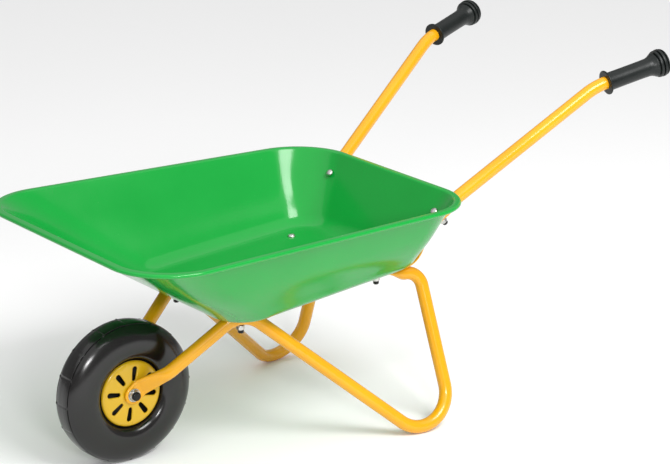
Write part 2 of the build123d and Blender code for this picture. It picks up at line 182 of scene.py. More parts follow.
def sweep(name, pts, tans, hints, sections, mirror=False):
    rows = []
    for p, t, h, sec in zip(pts, tans, hints, sections):
        w = unit(h - t * (h @ t))
        k = np.cross(t, w)
        rows.append(p + sec[:, :1] * w + sec[:, 1:] * k)
    vs = np.concatenate(rows)
    n = len(rows)
    fs = grid_faces(n, M)
    fs.append(list(range(M))[::-1])
    fs.append(list(range((n - 1) * M, n * M)))
    if mirror:
        vs = vs * V(1, -1, 1)
    return recalc(mesh_object(name, vs, fs))


def mirror_copy(ob, name):
    me = ob.data.copy()
    me.name = name
    me.transform(Matrix.Diagonal((1, -1, 1, 1)))
    me.flip_normals()
    o = bpy.data.objects.new(name, me)
    bpy.context.scene.collection.objects.link(o)
    return o


def revolve(name, prof, origin, axis, ref, n=128, radial=None):
    """prof: list of (along, radius). radial(theta, along, r) may change the radius."""
    axis = unit(axis)
    x = unit(ref - axis * (ref @ axis))
    y = np.cross(axis, x)
    vs, rows = [], []
    for k in range(n):
        th = 2 * math.pi * k / n
        d = x * math.cos(th) + y * math.sin(th)
        for a, r in prof:
            rr = r if radial is None else radial(th, a, r)
            vs.append(origin + axis * a + d * rr)
    m = len(prof)
    fs = []
    for k in range(n):
        k2 = (k + 1) % n
        for i in range(m - 1):
            if prof[i][1] < 1e-6 and prof[i + 1][1] < 1e-6:
                continue
            fs.append((k * m + i, k2 * m + i, k2 * m + i + 1, k * m + i + 1))
    return vs, fs


def round_profile(pts, r=0.6, n=4, closed=False):
    """Rounds the corners of an open profile of (a, b) points."""
    pts = [np.array(p, float) for p in pts]
    out = [pts[0]]
    for i in range(1, len(pts) - 1):
        a, b = pts[i - 1] - pts[i], pts[i + 1] - pts[i]
        la, lb = np.linalg.norm(a), np.linalg.norm(b)
        if la < 1e-6 or lb < 1e-6:
            out.append(pts[i])
            continue
        t = min(r, la * 0.45, lb * 0.45)
        p0, p2 = pts[i] + a / la * t, pts[i] + b / lb * t
        for k in range(n + 1):
            f = k / n
            out.append(p0 * (1 - f) ** 2 + 2 * pts[i] * f * (1 - f) + p2 * f ** 2)
    out.append(pts[-1])
    return [tuple(p) for p in out]


# ------------------------------------------------------------------ tray
BULGE = 2.9              # the walls are pressed slightly full
NS, NC = 26, 22          # samples on each straight side and each corner


def loop2d(front, rear, hf, hr, rf, rr):
    """Rounded outline: points and outward normals, the same count for every outline."""
    c = [V(front, -hf), V(front, hf), V(rear, hr), V(rear, -hr)]
    rad = [rf, rf, rr, rr]
    pts, nrm = [], []
    arcs = []
    for i in range(4):
        a, b = unit(c[i - 1] - c[i]), unit(c[(i + 1) % 4] - c[i])
        half = math.acos(a @ b) / 2
        t = rad[i] / math.tan(half)
        cen = c[i] + unit(a + b) * rad[i] / math.sin(half)
        s, e = c[i] + a * t, c[i] + b * t
        arcs.append((s, e, cen))
    for i in range(4):
        s, e, cen = arcs[i]
        n0, n1 = unit(s - cen), unit(e - cen)
        ang = math.acos(max(-1, min(1, n0 @ n1)))
        side = unit(n1 - n0 * (n0 @ n1))
        for k in range(NC):
            f = ang * k / NC
            n = n0 * math.cos(f) + side * math.sin(f)
            pts.append(cen + n * rad[i])
            nrm.append(n)
        s2 = arcs[(i + 1) % 4][0]
        d = s2 - e
        n = unit(V(d[1], -d[0]))
        if n @ (e - V((front + rear) / 2, 0)) < 0:
            n = -n
        for k in range(NS):
            pts.append(e + d * k / NS)
            nrm.append(n)
    return np.array(pts), np.array(nrm)


def to_plane(q, origin, xd):
    return origin + q[:, :1] * xd + q[:, 1:] * YV


def build_tray():
    f2, fn2 = loop2d(FLOOR_F, FLOOR_R, FHF, FHR, FRF, FRR)
    t2, tn2 = loop2d(RIM_F - LIP, RIM_R + LIP, RHF - LIP, RHR - LIP, RCORN - LIP, RCORN - LIP)
    b2, bn2 = loop2d(RIM_F - BEAD, RIM_R + BEAD, RHF - BEAD, RHR - BEAD, RCORN - BEAD, RCORN - BEAD)
    F = to_plane(f2, P(0, 0, floor_z(0)), floor_f)
    T = to_plane(t2, P(0, 0, rim_z(0)) + rim_n * BEAD, rim_f)
    C = to_plane(b2, P(0, 0, rim_z(0)), rim_f)
    g = -(fn2[:, :1] * floor_f + fn2[:, 1:] * YV)
    o = bn2[:, :1] * rim_f + bn2[:, 1:] * YV
    nu = len(F)
    d = T - F
    d /= np.linalg.norm(d, axis=1)[:, None]
    # middle of the sheet: half a thickness inside the outer faces
    wn = np.cross(np.roll(T, -1, 0) - np.roll(T, 1, 0), d)
    wn /= np.linalg.norm(wn, axis=1)[:, None]
    wn *= np.sign((wn * g).sum(1))[:, None]                 # inward
    cosphi = (g * d).sum(1)
    half = np.arccos(np.clip(cosphi, -1, 1)) / 2
    up = floor_n * SHEET / 2
    # corner of the middle surface: up from the floor and in from the wall
    bis = g + d
    bis /= np.linalg.norm(bis, axis=1)[:, None]
    K = F + bis * (SHEET / 2 / np.sin(half))[:, None]
    Lt = (BOTR - SHEET / 2) / np.tan(half)
    A, B = K + g * Lt[:, None], K + d * Lt[:, None]
    cen = K + bis * ((BOTR - SHEET / 2) / np.sin(half))[:, None]
    rows = []
    mid = A.mean(0)
    mid = mid - floor_n * ((mid - A[0]) @ floor_n)
    for f in (0.03, 0.12, 0.25, 0.38, 0.5, 0.62, 0.72, 0.82, 0.9, 0.96):
        rows.append(mid + (A - mid) * f)
    for k in range(11):
        f = k / 10
        v0, v1 = A - cen, B - cen
        r = np.linalg.norm(v0, axis=1)
        ang = np.arccos(np.clip((v0 * v1).sum(1) / r ** 2, -1, 1))
        w0, w1 = np.sin((1 - f) * ang) / np.sin(ang), np.sin(f * ang) / np.sin(ang)
        rows.append(cen + v0 * w0[:, None] + v1 * w1[:, None])
    # the wall up to the lip
    lip_h = BEAD - SHEET / 2
    T2 = T + wn * (SHEET / 2)
    # where the middle of the wall meets the lip's middle plane
    hgt = ((T2 - P(0, 0, rim_z(0))) @ rim_n) - lip_h
    Kt = T2 - d * (hgt / (d @ rim_n))[:, None]
    turn = np.arccos(np.clip((d * o).sum(1), -1, 1))
    rb = 3.4
    tl = rb * np.tan(turn / 2)
    W1 = Kt - d * tl[:, None]
    full = 1 - smooth01((wn[:, 0] - 0.30) / 0.40)            # the rear wall stays flat, where the handles' ends lie on it
    for k in range(1, 23):
        f = k / 22
        rows.append(B + (W1 - B) * f - wn * (full[:, None] * BULGE * math.sin(math.pi * f ** 0.85) ** 2))
    W2 = Kt + o * tl[:, None]
    for k in range(1, 8):
        f = k / 7
        q = W1 * (1 - f) ** 2 + 2 * Kt * f * (1 - f) + W2 * f ** 2
        rows.append(q)
    top = C + rim_n * (BEAD - SHEET / 2)
    rows.append(W2 * 0.5 + top * 0.5)
    R = BEAD - SHEET / 2
    for k in range(0, 27):
        a = math.radians(90 - 300 * k / 26)
        rows.append(C + o * (R * math.cos(a)) + rim_n * (R * math.sin(a)))
    G = np.array(rows)                                  # nv, nu, 3
    du = np.roll(G, -1, 1) - np.roll(G, 1, 1)
    dv = np.zeros_like(G)
    dv[1:-1] = G[2:] - G[:-2]
    dv[0], dv[-1] = G[1] - G[0], G[-1] - G[-2]
    N = np.cross(du, dv)
    N /= np.linalg.norm(N, axis=2)[:, :, None]
    if N[0, 0] @ floor_n < 0:
        N = -N
    inner, outer = G + N * (SHEET / 2), G - N * (SHEET / 2)
    nv = len(rows)
    vs = np.concatenate([inner.reshape(-1, 3), outer.reshape(-1, 3)])
    fs = grid_faces(nv, nu) + grid_faces(nv, nu, base=nv * nu, flip=True)
    for j in range(nu):                                 # the curled edge's end
        k = (j + 1) % nu
        a0, b0 = (nv - 1) * nu + j, (nv - 1) * nu + k
        fs.append((a0, b0, b0 + nv * nu, a0 + nv * nu))
    fs.append(list(range(nu))[::-1])
    fs.append([nv * nu + j for j in range(nu)])
    ob = recalc(mesh_object("tray_sheet", vs, fs))
    return sharp(ob, 50)


# ------------------------------------------------------------------ leg and fork tube
fork_root, apex = P(0, 33.5, AXZ - 2.6), P(-135.4, 78.8, 197.2)
foot, leg_top = P(-413.6, 197.4, -51.38), P(-407.5, 105.2, 203.2)
run_end = P(-383.5, 101.0, 202.8)
arm_dir = unit(apex - fork_root)
arm_start = fork_root + arm_dir * 52
lug_dir = unit(V(arm_dir[0], 0, arm_dir[2]))
lug_c = P(0, LUG_Y, AXZ)
leg_off = FLAT_T * 1.5 + 0.1
leg_flat0 = P(RBX - 15, RBY, floor_z(RBX - 15)) - floor_n * leg_off
rear_c = P(RBX, RBY, floor_z(RBX)) - floor_n * leg_off


def lug_section(u, w):
    """Section of the pressed fork end, u past the axle centre, half-width w: raised rim and dished middle outside."""
    c, s_ = np.cos(PHI), np.sin(PHI)
    x = w * c
    dist = 13.0 - np.sqrt(x ** 2 + min(u, 0) ** 2)
    dist = np.clip(dist, 0, None)
    rim = 2.7
    edge = np.sqrt(np.clip(rim ** 2 - (rim - np.clip(dist, 0, rim)) ** 2, 0, None))
    dish = 1.45 + (rim - 1.45) * (1 - smooth01((dist - 2.2) / 3.0))
    outer = np.minimum(edge, dish)
    inner = np.minimum(edge * 0.55, 1.45)
    return np.stack([x, np.where(s_ >= 0, outer, -inner)], 1)


def build_leg():
    pts = [lug_c - lug_dir * 12.9, lug_c + lug_dir * 13.0, arm_start, apex, foot, leg_top, run_end, leg_flat0,
           rear_c + floor_f * 12.9]
    p, t = fillet_path(pts, [14, 40, 38, 46, 22, 18, 20], ds=1.8)
    s = arclen(p)
    s_ax, s_flat = 12.9, 12.9 + 10
    s_arm = nearest_s(p, s, arm_start) + 8
    s_run = nearest_s(p, s, run_end) - 3
    s_leg = nearest_s(p, s, leg_flat0)
    s_end = s[-1]
    hints, secs = [], []
    lug_w = np.cross(YV, lug_dir)
    for i, (pp, tt, ss) in enumerate(zip(p, t, s)):
        f = smooth01((ss - s_arm) / 60)
        hints.append(lug_w * (1 - f) + unit(np.cross(YV, V(-1, 0, 0)) + YV * 0.9) * f if ss < s_arm + 60 else None)
        if ss < s_arm:
            u = ss - s_ax
            w = 13.0 * math.sqrt(max(1e-4, 1 - (u / 13.0) ** 2)) if u < 0 else 13.0
            flat = lug_section(u, w)
            q = float(smooth01((ss - s_flat) / (s_arm - s_flat)))
            secs.append(flat * (1 - q) + section(TUBE, TUBE) * q)
        elif ss < s_run:
            secs.append(section(TUBE, TUBE))
        else:
            q = float(smooth01((ss - s_run) / (s_leg - s_run)))
            w = 13.0
            e = s_end - ss
            if e < 13.0:
                w = 13.0 * math.sqrt(max(1e-4, 1 - ((13.0 - e) / 13.0) ** 2))
            secs.append(section(TUBE * (1 - q) + w * q, TUBE * (1 - q) + FLAT_T / 2 * q, 2 + 1.2 * q))
    # the width direction turns slowly to +Y along the round part
    last = [h for h in hints if h is not None][-1]
    n0 = len([h for h in hints if h is not None])
    for i in range(n0, len(hints)):
        f = smooth01((s[i] - s[n0 - 1]) / (s_run - s[n0 - 1] - 40))
        hints[i] = last * (1 - f) + YV * f
        tt = t[i]
        if np.linalg.norm(hints[i] - tt * (hints[i] @ tt)) < 0.15:
            hints[i] = hints[i] + V(0.4, 0.1, 0.3)
    # rotation-minimising frames from the lug up to the run, then eased on to +Y
    w = unit(lug_w - t[0] * (lug_w @ t[0]))
    ws = [w]
    for i in range(1, len(p)):
        v = p[i] - p[i - 1]
        if np.linalg.norm(v) > 1e-9:
            v = v / np.linalg.norm(v)
            r_ = ws[-1] - 2 * (v @ ws[-1]) * v
            tl = t[i - 1] - 2 * (v @ t[i - 1]) * v
            v2 = t[i] - tl
            if np.linalg.norm(v2) > 1e-9:
                v2 = v2 / np.linalg.norm(v2)
                r_ = r_ - 2 * (v2 @ r_) * v2
            ws.append(unit(r_))
        else:
            ws.append(ws[-1])
    # twist needed at the rear flat, spread along the round diagonal
    tt = t[-1]
    yv = unit(YV - tt * (YV @ tt))
    kk = np.cross(tt, ws[-1])
    twist = math.atan2(yv @ kk, yv @ ws[-1])
    s0, s1 = s_arm + 70, s_run - 70
    out = []
    for i in range(len(p)):
        a = twist * float(smooth01((s[i] - s0) / (s1 - s0)))
        k_ = np.cross(t[i], ws[i])
        out.append(ws[i] * math.cos(a) + k_ * math.sin(a))
    return sweep("left_leg_sweep", p, t, out, secs)


# ------------------------------------------------------------------ handle tube
wall_top_pt = P(RIM_R + LIP, 0, rim_z(RIM_R + LIP) + BEAD)
wall_foot_pt = P(FLOOR_R, 0, floor_z(FLOOR_R))
wall_dir = unit(wall_foot_pt - wall_top_pt)
wall_n = unit(V(wall_dir[2], 0, -wall_dir[0]))


def wall_point(z, off, y):
    tt = (z - wall_top_pt[2]) / wall_dir[2]
    q = wall_top_pt + wall_dir * tt
    return V(q[0], y, q[2]) + wall_n * off


handle_end, handle_bend = P(-749.0, 200.8, 458.8), P(-653.3, 179.4, 436.5)
handle_knee = wall_point(301.0, 12.2, 122.6)
handle_fs = wall_point(290.0, 10.4, 119.2)
handle_mid = wall_point(279.0, 5.3, 115.6)
hug = FLAT_T / 2 + 0.1
strip_top = wall_point(258.0, hug, 106.5)
a0, b0 = wall_foot_pt + wall_n * hug, wall_foot_pt - floor_n * hug
_det = wall_dir[0] * -floor_f[2] + wall_dir[2] * floor_f[0]
_tk = ((b0[0] - a0[0]) * -floor_f[2] + (b0[2] - a0[2]) * floor_f[0]) / _det
strip_knee = a0 + wall_dir * _tk
strip_end = P(RBX + 17, RBY, floor_z(RBX + 17)) - floor_n * hug


def build_handle():
    kn = V(strip_knee[0], 0, strip_knee[2])
    fr = np.linalg.norm(V(kn[0] - strip_top[0], 0, kn[2] - strip_top[2]))
    to = np.linalg.norm(V(strip_end[0] - kn[0], 0, strip_end[2] - kn[2]))
    kn[1] = 106.5 + (RBY - 106.5) * fr / (fr + to)
    pts = [handle_end, handle_bend, handle_knee, handle_fs, handle_mid, strip_top, kn, strip_end]
    p, t = fillet_path(pts, [90, 45, 14, 14, 18, BOTR + hug], ds=2.2)
    s = arclen(p)
    s_fs = nearest_s(p, s, handle_fs) - 4
    s_mid = nearest_s(p, s, handle_mid)
    s_st = nearest_s(p, s, strip_top)
    secs = []
    for ss in s:
        if ss < s_fs:
            secs.append(section(TUBE, TUBE))
            continue
        if ss < s_mid:
            q = float(smooth01((ss - s_fs) / (s_mid - s_fs)))
            secs.append(section(TUBE + 2.0 * q, TUBE - 4.2 * q, 2 + 0.3 * q))
            continue
        q = float(smooth01((ss - s_mid) / (s_st - s_mid)))
        a, b = 11.0 - 0.5 * q, 4.8 - 3.3 * q
        e = s[-1] - ss
        if e < 10.4:
            a = 10.5 * math.sqrt(max(1e-4, 1 - ((10.4 - e) / 10.5) ** 2))
        secs.append(section(a, b, 2.3 + 1.0 * q))
    return sweep("left_handle_sweep", p, t, [YV] * len(p), secs)


# ------------------------------------------------------------------ grips
grip_dir = unit(handle_end - handle_bend)
GRIP = [
    (16.5, 9.06), (16.5, 16.0), (17.0, 16.9), (18.4, 17.0), (19.1, 16.2),
    (19.4, 13.4), (20.6, 12.6), (42.0, 12.4), (60.0, 12.4), (76.0, 12.45), (84.0, 12.7), (88.0, 13.6), (91.5, 15.2),
    (94.4, 16.95), (94.9, 14.6), (96.3, 14.6), (96.8, 18.3), (98.4, 18.9), (100.0, 19.0), (100.5, 15.6), (101.9, 15.6),
    (102.4, 19.3), (104.3, 19.4), (106.0, 19.3), (106.5, 15.8), (107.9, 15.8), (108.4, 18.6), (110.4, 17.4),
    (112.2, 14.2), (113.3, 9.6), (113.8, 4.8), (113.9, 0.0),
]


def build_grip():
    prof = round_profile(GRIP, 0.55, 4)
    L = np.linalg.norm(handle_end - handle_bend)
    prof = prof + [(L + 0.5, 0.0)][:0]
    prof.append((L + 0.5, 0.0))
    prof.append((L + 0.5, 9.06))
    prof.append((16.5, 9.06))
    vs, fs = revolve("g", prof, handle_bend, grip_dir, V(0, 0, 1), n=96)
    return sharp(recalc(mesh_object("left_grip_moulding", vs, fs)), 60)


# ------------------------------------------------------------------ tyre
WC = P(0, 0, AXZ)


def build_tyre():
    half = [
        (0.0, 95.0), (5.0, 94.95), (9.0, 94.6), (11.6, 94.0), (12.2, 93.7), (12.5, 91.6), (13.9, 91.4), (14.2, 92.9),
        (14.6, 92.6), (16.6, 91.1), (19.0, 88.3), (21.4, 84.4), (23.3, 80.0), (24.7, 75.5), (25.55, 71.0), (25.95, 66.5),
        (25.9, 62.0), (25.35, 57.8), (24.3, 54.2), (22.6, 51.2), (20.4, 49.0), (17.4, 47.3), (15.0, 46.8),
    ]
    # smooth the flowing part with a spline through its points
    flow = half[8:]
    xs = np.arange(len(flow))
    fine = np.linspace(0, len(flow) - 1, 46)

    def cr(vals):
        out = []
        for q in fine:
            i = min(int(q), len(flow) - 2)
            f = q - i
            p0, p1 = vals[max(i - 1, 0)], vals[i]
            p2, p3 = vals[i + 1], vals[min(i + 2, len(vals) - 1)]
            out.append(0.5 * (2 * p1 + (p2 - p0) * f + (2 * p0 - 5 * p1 + 4 * p2 - p3) * f ** 2 + (3 * p1 - p0 - 3 * p2 + p3) * f ** 3))
        return out
    fl = list(zip(cr([q[0] for q in flow]), cr([q[1] for q in flow])))
    head = round_profile(half[:9], 0.35, 3)
    outer = head[:-1] + fl
    prof = [(-a, r) for a, r in outer[::-1]] + outer[1:]
    inner = [(14.0, 45.5), (14.0, 44.2), (-14.0, 44.2), (-14.0, 45.5)]
    prof = prof + inner + [prof[0]]
    n = 16

    def radial(th, a, r):
        if r < 91.0 or abs(a) > 14.8:
            return r
        ph = (th * n / (2 * math.pi)) % 1.0            # place within a block
        e = min(ph, 1 - ph)
        rr = r
        k = int(th * n / (2 * math.pi)) % 2
        if abs(a) < 12.35:
            # shallow steps: every second block stands a little lower
            step = 0.55 * (1 - smooth01((e - 0.015) / 0.03)) if k else 0.55 * (1 - smooth01((e - 0.015) / 0.03))
            rr = r - 0.75 * float(1 - smooth01((e - 0.012) / 0.035)) - (0.45 if k else 0.0) * float(smooth01((e - 0.012) / 0.035))
        elif 12.35 <= abs(a) <= 14.0:
            # the groove beside the tread is broken at each block's end
            rr = r + 2.0 * float(1 - smooth01((e - 0.03) / 0.04))
        return rr
    vs, fs = revolve("t", prof, WC, V(0, 1, 0), V(1, 0, 0), n=512, radial=radial)
    return sharp(recalc(mesh_object("tyre_moulding", vs, fs)), 55)


# ------------------------------------------------------------------ hub disc
def slot_outline(off=0.0):
    """A radial slot wider outwards, rounded at both ends, grown by off."""
    r1, r2, c1, c2 = 2.8 + off, 3.7 + off, 20.6, 33.8
    sl = (r2 - r1) / (c2 - c1)
    a = math.asin(sl)
    pts = []
    for k in range(13):
        f = math.pi / 2 + a + (math.pi - 2 * a) * k / 12
        pts.append((c1 + r1 * math.cos(f), r1 * math.sin(f)))
    for k in range(17):
        f = -math.pi / 2 - a + (math.pi + 2 * a) * k / 16
        pts.append((c2 + r2 * math.cos(f), r2 * math.sin(f)))
    return np.array(pts)


def disc_y(r):
    prof = [(0, 21.2), (15, 21.2), (24, 21.1), (33, 20.95), (37.5, 20.75), (40.5, 20.35), (42.6, 19.6), (43.9, 18.5), (44.6, 17.2), (44.7, 16.4)]
    return float(np.interp(r, [q[0] for q in prof], [q[1] for q in prof]))


def build_disc():
    pts, edges, faces = [], [], []

    def ring(q, closed=True, constrain=True):
        b = len(pts)
        pts.extend([tuple(x) for x in q])
        if constrain:
            for i in range(len(q)):
                edges.append((b + i, b + (i + 1) % len(q)))
        return b

    def circ(r, n, ph=0.0):
        return [(r * math.cos(2 * math.pi * (k + ph) / n), r * math.sin(2 * math.pi * (k + ph) / n)) for k in range(n)]

    ring(circ(44.7, 160))
    ring(circ(44.5, 160))
    ring(circ(43.9, 160))
    ring(circ(42.9, 160))
    ring(circ(41.6, 160))
    ring(circ(40.0, 120))
    ring(circ(7.0, 48))
    ring(circ(10.5, 48), constrain=False)
    ring(circ(14.5, 64), constrain=False)
    offs = [0.0, 0.35, 0.8, 1.4]
    slots = []
    for k in range(8):
        a = math.radians(-9 + 45 * k)
        ca, sa = math.cos(a), math.sin(a)
        for o_ in offs:
            q = slot_outline(o_)
            q2 = [(x * ca - y * sa, x * sa + y * ca) for x, y in q]
            ring(q2)
            if o_ == 0.0:
                slots.append((a, q2))
    vs2, es2, fs2, _, _, _ = delaunay_2d_cdt([Vector(q) for q in pts], edges, [], 1, 1e-5, False)
    vs2 = [tuple(v) for v in vs2]

    def in_slot(x, y):
        for a, _q in slots:
            xx, yy = x * math.cos(-a) - y * math.sin(-a), x * math.sin(-a) + y * math.cos(-a)
            c1, c2, r1, r2 = 20.6, 33.8, 2.8, 3.7
            f = max(0, min(1, (xx - c1) / (c2 - c1)))
            if math.hypot(xx - (c1 + (c2 - c1) * f), yy) < (r1 + (r2 - r1) * f) - 0.02:
                return True
        return False

    keep = []
    for f in fs2:
        cx = sum(vs2[i][0] for i in f) / len(f)
        cy = sum(vs2[i][1] for i in f) / len(f)
        if math.hypot(cx, cy) < 7.0 or in_slot(cx, cy):
            continue
        keep.append(f)

    def slot_dist(x, y):
        best = 9.0
        for a, _q in slots:
            xx, yy = x * math.cos(-a) - y * math.sin(-a), x * math.sin(-a) + y * math.cos(-a)
            c1, c2, r1, r2 = 20.6, 33.8, 2.8, 3.7
            f = max(0, min(1, (xx - c1) / (c2 - c1)))
            best = min(best, math.hypot(xx - (c1 + (c2 - c1) * f), yy) - (r1 + (r2 - r1) * f))
        return best

    top, bot = [], []
    for x, y in vs2:
        r = math.hypot(x, y)
        z = disc_y(r)
        dd = slot_dist(x, y)
        z -= 0.8 * (1 - math.sqrt(max(0, min(1, dd / 1.4)) * (2 - max(0, min(1, dd / 1.4)))))     # edges turned in
        top.append((WX + x, z, AXZ - y))
        bot.append((WX + x * (1 - 0.6 / 44.7 if r > 40 else 1), z - 1.2, AXZ - y * (1 - 0.6 / 44.7 if r > 40 else 1)))
    n = len(vs2)
    fs = [tuple(f) for f in keep] + [tuple(i + n for i in f[::-1]) for f in keep]
    cnt = {}
    for f in keep:
        for i in range(len(f)):
            e = (f[i], f[(i + 1) % len(f)])
            key = tuple(sorted(e))
            cnt.setdefault(key, []).append(e)
    for key, l in cnt.items():
        if len(l) == 1:
            a, b = l[0]
            fs.append((b, a, a + n, b + n))
    used = sorted(set(i for f in fs for i in f))
    mp = {v: k for k, v in enumerate(used)}
    allv = top + bot
    vs = [allv[i] for i in used]
    fs = [tuple(mp[i] for i in f) for f in fs]
    return sharp(recalc(mesh_object("left_disc_pressing", vs, fs)), 50)


# ------------------------------------------------------------------ fasteners
def hex_nut(name, o, d, af, h, bore, ch=0.12):
    """Hex nut with chamfered corners: o is on its seat, d points away."""
    d = unit(d)
    x = unit(YV - d * (YV @ d)) if abs(YV @ d) < 0.9 else V(1, 0, 0)
    y = np.cross(d, x)
    rc = af / math.cos(math.pi / 6)
    n = 72
    rows = []

    def hexr(th):
        a = (th % (math.pi / 3)) - math.pi / 6
        return af / math.cos(a)
    levels = [(0.0, bore), (0.0, 1.02 * af), (0.1 * h, 9e9), (0.86 * h, 9e9), (1.0 * h, 1.0 * af * 0.98), (1.0 * h, bore * 1.25), (0.94 * h, bore)]
    for z, lim in levels:
        row = []
        for k in range(n):
            th = 2 * math.pi * k / n
            r = min(hexr(th), lim)
            zz = z
            if lim > 1e8:
                over = (hexr(th) - af) / (rc - af)
                zz = z + (ch * h * over if z < 0.5 * h else -ch * h * over)
            row.append(o + d * zz + (x * math.cos(th) + y * math.sin(th)) * r)
        rows.append(row)
    rows.append(rows[0])
    vs = np.concatenate([np.array(r) for r in rows])
    return vs, grid_faces(len(rows), n)


def lathe_part(o, d, prof, n=40):
    d = unit(d)
    ref = YV if abs(YV @ d) < 0.9 else V(1, 0, 0)
    return revolve("x", prof, o, d, ref, n=n)


def merge(name, parts, deg=40):
    vs, fs, b = [], [], 0
    for v, f in parts:
        v = np.asarray(v)
        vs.append(v)
        fs += [tuple(i + b for i in q) for q in f]
        b += len(v)
    return sharp(recalc(mesh_object(name, np.concatenate(vs), fs)), deg)


wall_bolt_z, wall_bolt_y, tilt = 283.0, 116.0, math.radians(44)
bolt_n = V(-math.cos(tilt), 0, -math.sin(tilt))
wall_face = wall_point(wall_bolt_z, 0, wall_bolt_y)
BOLTS = {
    "front_floor_bolts": [(P(FBX, s_ * FBY, floor_z(FBX)) + floor_n * SHEET, -floor_n, SHEET + 2 * TUBE + 1.9) for s_ in (1, -1)],
    "rear_floor_bolts": [(P(RBX, s_ * RBY, floor_z(RBX)) + floor_n * SHEET, -floor_n, SHEET + 2 * FLAT_T + 0.25) for s_ in (1, -1)],
    "rear_wall_bolts": [(V(wall_face[0], s_ * wall_bolt_y, wall_face[2]) - bolt_n * (SHEET + 3.7), bolt_n, SHEET + 3.7 + 13.0) for s_ in (1, -1)],
}
WASH, NUT, STUB = 1.2, 5.2, 4.2


def build_fasteners():
    made = {}
    washers, nuts, caps = [], [], []
    for name, lst in BOLTS.items():
        parts = []
        for o, d, grip in lst:
            L = grip + WASH + NUT + STUB
            prof = [(-3.4, 0.0), (-3.35, 1.6), (-3.1, 3.0), (-2.6, 4.2), (-1.8, 5.0), (-0.9, 5.5), (-0.2, 5.6), (0.0, 5.4), (0.0, 3.0), (L, 3.0), (L, 0.0)]
            parts.append(lathe_part(o, d, prof))
            washers.append(lathe_part(o + d * (grip + 0.02), d, [(0, 3.2), (0, 5.9), (0.15, 6.0), (WASH - 0.2, 6.0), (WASH, 5.8), (WASH, 3.2), (0, 3.2)]))
            nuts.append(hex_nut("n", o + d * (grip + WASH + 0.05), d, 5.0, NUT, 3.03))
            h0 = grip + WASH + NUT + 0.1
            caps.append(lathe_part(o + d * h0, d, [(0, 3.05), (0, 3.9), (0.2, 4.0), (STUB - 0.2, 3.95), (STUB + 0.8, 3.2), (STUB + 1.2, 1.8), (STUB + 1.3, 0.0), (STUB + 0.1, 0.0), (STUB + 0.1, 3.05), (0, 3.05)]))
        made[name] = merge(name + "_turned", parts)
    made["tray_bolt_washers"] = merge("tray_washers_turned", washers)
    made["tray_bolt_nuts"] = merge("tray_nuts_hex", nuts, 25)
    made["tray_bolt_caps"] = merge("tray_caps_moulded", caps)
    lo = LUG_Y + FLAT_T / 2
    w, n_, c = [], [], []
    for s_ in (1, -1):
        d = V(0, s_, 0)
        o = V(WX, s_ * (lo + 0.05), AXZ)
        w.append(lathe_part(o, d, [(0, 5.2), (0, 8.8), (0.2, 9.0), (1.0, 9.0), (1.2, 8.8), (1.2, 5.2), (0, 5.2)], n=56))
        n_.append(hex_nut("n", V(WX, s_ * (lo + 1.3), AXZ), d, 7.0, 3.6, 5.1))
        c.append(lathe_part(V(WX, s_ * (lo + 5.0), AXZ), d, [(0, 5.05), (0, 6.0), (0.2, 6.1), (1.6, 6.1), (2.7, 5.6), (3.2, 4.6), (3.4, 3.2), (3.4, 0.0), (1.7, 0.0), (1.7, 5.05), (0, 5.05)], n=48))
    made["axle_washers"] = merge("axle_washers_turned", w)
    made["axle_nuts"] = merge("axle_nuts_hex", n_, 25)
    made["axle_caps"] = merge("axle_caps_moulded", c)
    return made


# ------------------------------------------------------------------ materials
def new_mat(name):
    m = bpy.data.materials.new(name)
    m.use_nodes = True
    nt = m.node_tree
    bsdf = nt.nodes["Principled BSDF"]
    return m, nt, bsdf


def tex(nt, kind, **inp):
    n = nt.nodes.new(kind)
    for k, v in inp.items():
        n.inputs[k].default_value = v
    return n


def coords(nt):
    return nt.nodes.new("ShaderNodeTexCoord").outputs["Object"]


def ramp(nt, src, a, b, ca, cb):
    r = nt.nodes.new("ShaderNodeValToRGB")
    r.color_ramp.elements[0].position, r.color_ramp.elements[1].position = a, b
    r.color_ramp.elements[0].color = (*ca, 1) if len(ca) == 3 else ca
    r.color_ramp.elements[1].color = (*cb, 1) if len(cb) == 3 else cb
    nt.links.new(src, r.inputs["Fac"])
    return r.outputs["Color"]


def g3(v):
    return (v, v, v)


def mix(nt, fac, a, b):
    m = nt.nodes.new("ShaderNodeMix")
    m.data_type = "RGBA"
    nt.links.new(fac, m.inputs["Factor"])
    for s_, v in (("A", a), ("B", b)):
        sock = [i for i in m.inputs if i.name == s_ and i.type == "RGBA"][0]
        if isinstance(v, bpy.types.NodeSocket):
            nt.links.new(v, sock)
        else:
            sock.default_value = (*v, 1)
    return [o_ for o_ in m.outputs if o_.type == "RGBA"][0]


def mathn(nt, op, a, b=None):
    m = nt.nodes.new("ShaderNodeMath")
    m.operation = op
    for i, v in enumerate((a, b)):
        if v is None:
            continue
        if isinstance(v, bpy.types.NodeSocket):
            nt.links.new(v, m.inputs[i])
        else:
            m.inputs[i].default_value = v
    return m.outputs[0]


